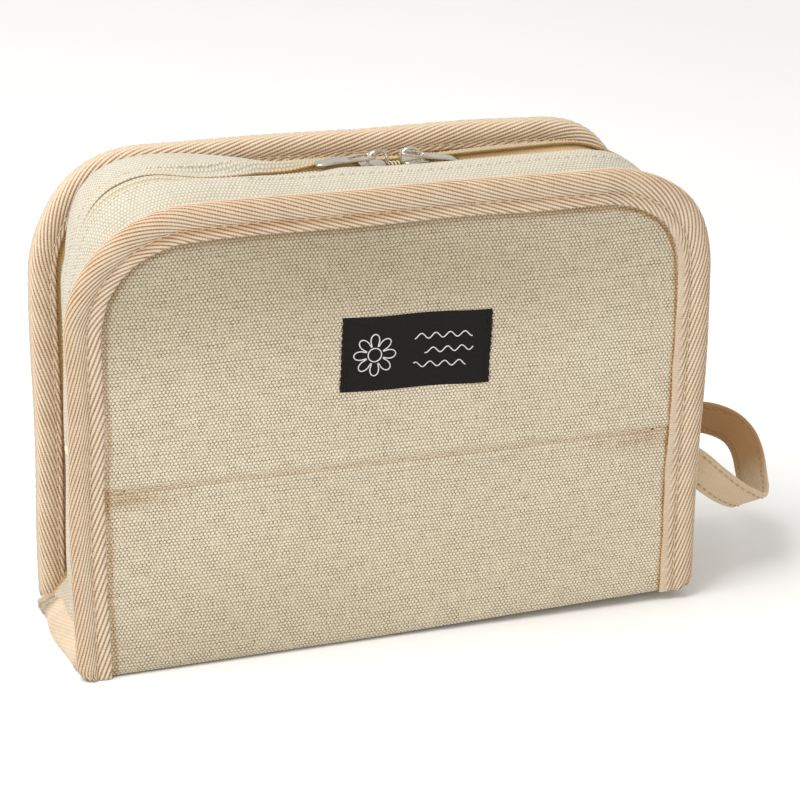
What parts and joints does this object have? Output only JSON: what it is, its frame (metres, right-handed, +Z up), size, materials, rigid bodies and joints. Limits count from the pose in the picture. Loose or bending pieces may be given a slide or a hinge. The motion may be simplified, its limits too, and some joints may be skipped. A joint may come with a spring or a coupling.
{
  "type": "pencil case",
  "caption": "Stiffened canvas pencil case with bound edges, an arched top, a zip with two sliders, a fold-down front flap, a side strap loop and a woven front label.",
  "frame": {"origin": "middle of the resting base, on the surface the case stands on", "axes": "+X to the right along the front, +Y from the front panel to the back panel, +Z up"},
  "size_m": [0.26, 0.0616, 0.1642],
  "materials": {
    "canvas": "undyed plain-weave cotton canvas",
    "twill_tape": "ribbed cotton twill tape",
    "lining": "smooth woven polyester lining",
    "foam_board": "thin foam board",
    "zip_tape": "woven zip tape",
    "zip_coil": "moulded nylon coil",
    "nickel": "polished nickel plating",
    "label": "black damask-woven label",
    "webbing": "cotton strap, stitched along both edges"
  },
  "bodies": {
    "case": {"back_panel": "canvas", "back_stiffener": "foam_board", "back_lining": "lining", "base_panel": "canvas", "base_stiffener": "foam_board", "base_lining": "lining", "lower_front_panel": "canvas", "lower_front_stiffener": "foam_board", "lower_front_lining": "lining", "left_side_gusset": "canvas", "right_side_gusset": "canvas", "left_side_lining": "lining", "right_side_lining": "lining", "rear_gusset": "canvas", "rear_gusset_lining": "lining", "rear_zip_tape": "zip_tape", "rear_zip_coil": "zip_coil", "left_zip_stop": "zip_coil", "right_zip_stop": "zip_coil", "back_binding": "twill_tape", "left_base_binding": "twill_tape", "right_base_binding": "twill_tape", "left_front_binding": "twill_tape", "right_front_binding": "twill_tape"},
    "flap": {"flap_panel": "canvas", "flap_stiffener": "foam_board", "flap_lining": "lining", "front_gusset": "canvas", "front_gusset_lining": "lining", "front_zip_tape": "zip_tape", "front_zip_coil": "zip_coil", "flap_binding": "twill_tape", "woven_label": "label"},
    "slider_left": {"left_slider": "nickel"},
    "slider_right": {"right_slider": "nickel"},
    "pull_left": {"left_pull": "nickel"},
    "pull_right": {"right_pull": "nickel"},
    "strap": {"side_strap": "webbing"}
  },
  "joints": [
    {"name": "flap_fold", "type": "hinge", "parent": "case", "child": "flap", "pos_m": [0, -0.0312, 0.06625], "axis": [1, 0, 0], "range_deg": [0, 130]},
    {"name": "left_slider_slide", "type": "slide", "parent": "case", "child": "slider_left", "axis": [-1, 0, 0], "range_m": [0, 0.03]},
    {"name": "right_slider_slide", "type": "slide", "parent": "case", "child": "slider_right", "axis": [1, 0, 0], "range_m": [0, 0.045]},
    {"name": "left_pull_flip", "type": "hinge", "parent": "slider_left", "child": "pull_left", "pos_m": [-0.0004, 0, 0.1621], "axis": [0, 1, 0], "range_deg": [0, 95]},
    {"name": "right_pull_flip", "type": "hinge", "parent": "slider_right", "child": "pull_right", "pos_m": [0.0108, 0, 0.1621], "axis": [0, -1, 0], "range_deg": [0, 95]},
    {"name": "strap_swing", "type": "hinge", "parent": "case", "child": "strap", "pos_m": [0.1085, 0, 0.05], "axis": [0, -1, 0], "range_deg": [0, 90]}
  ]
}
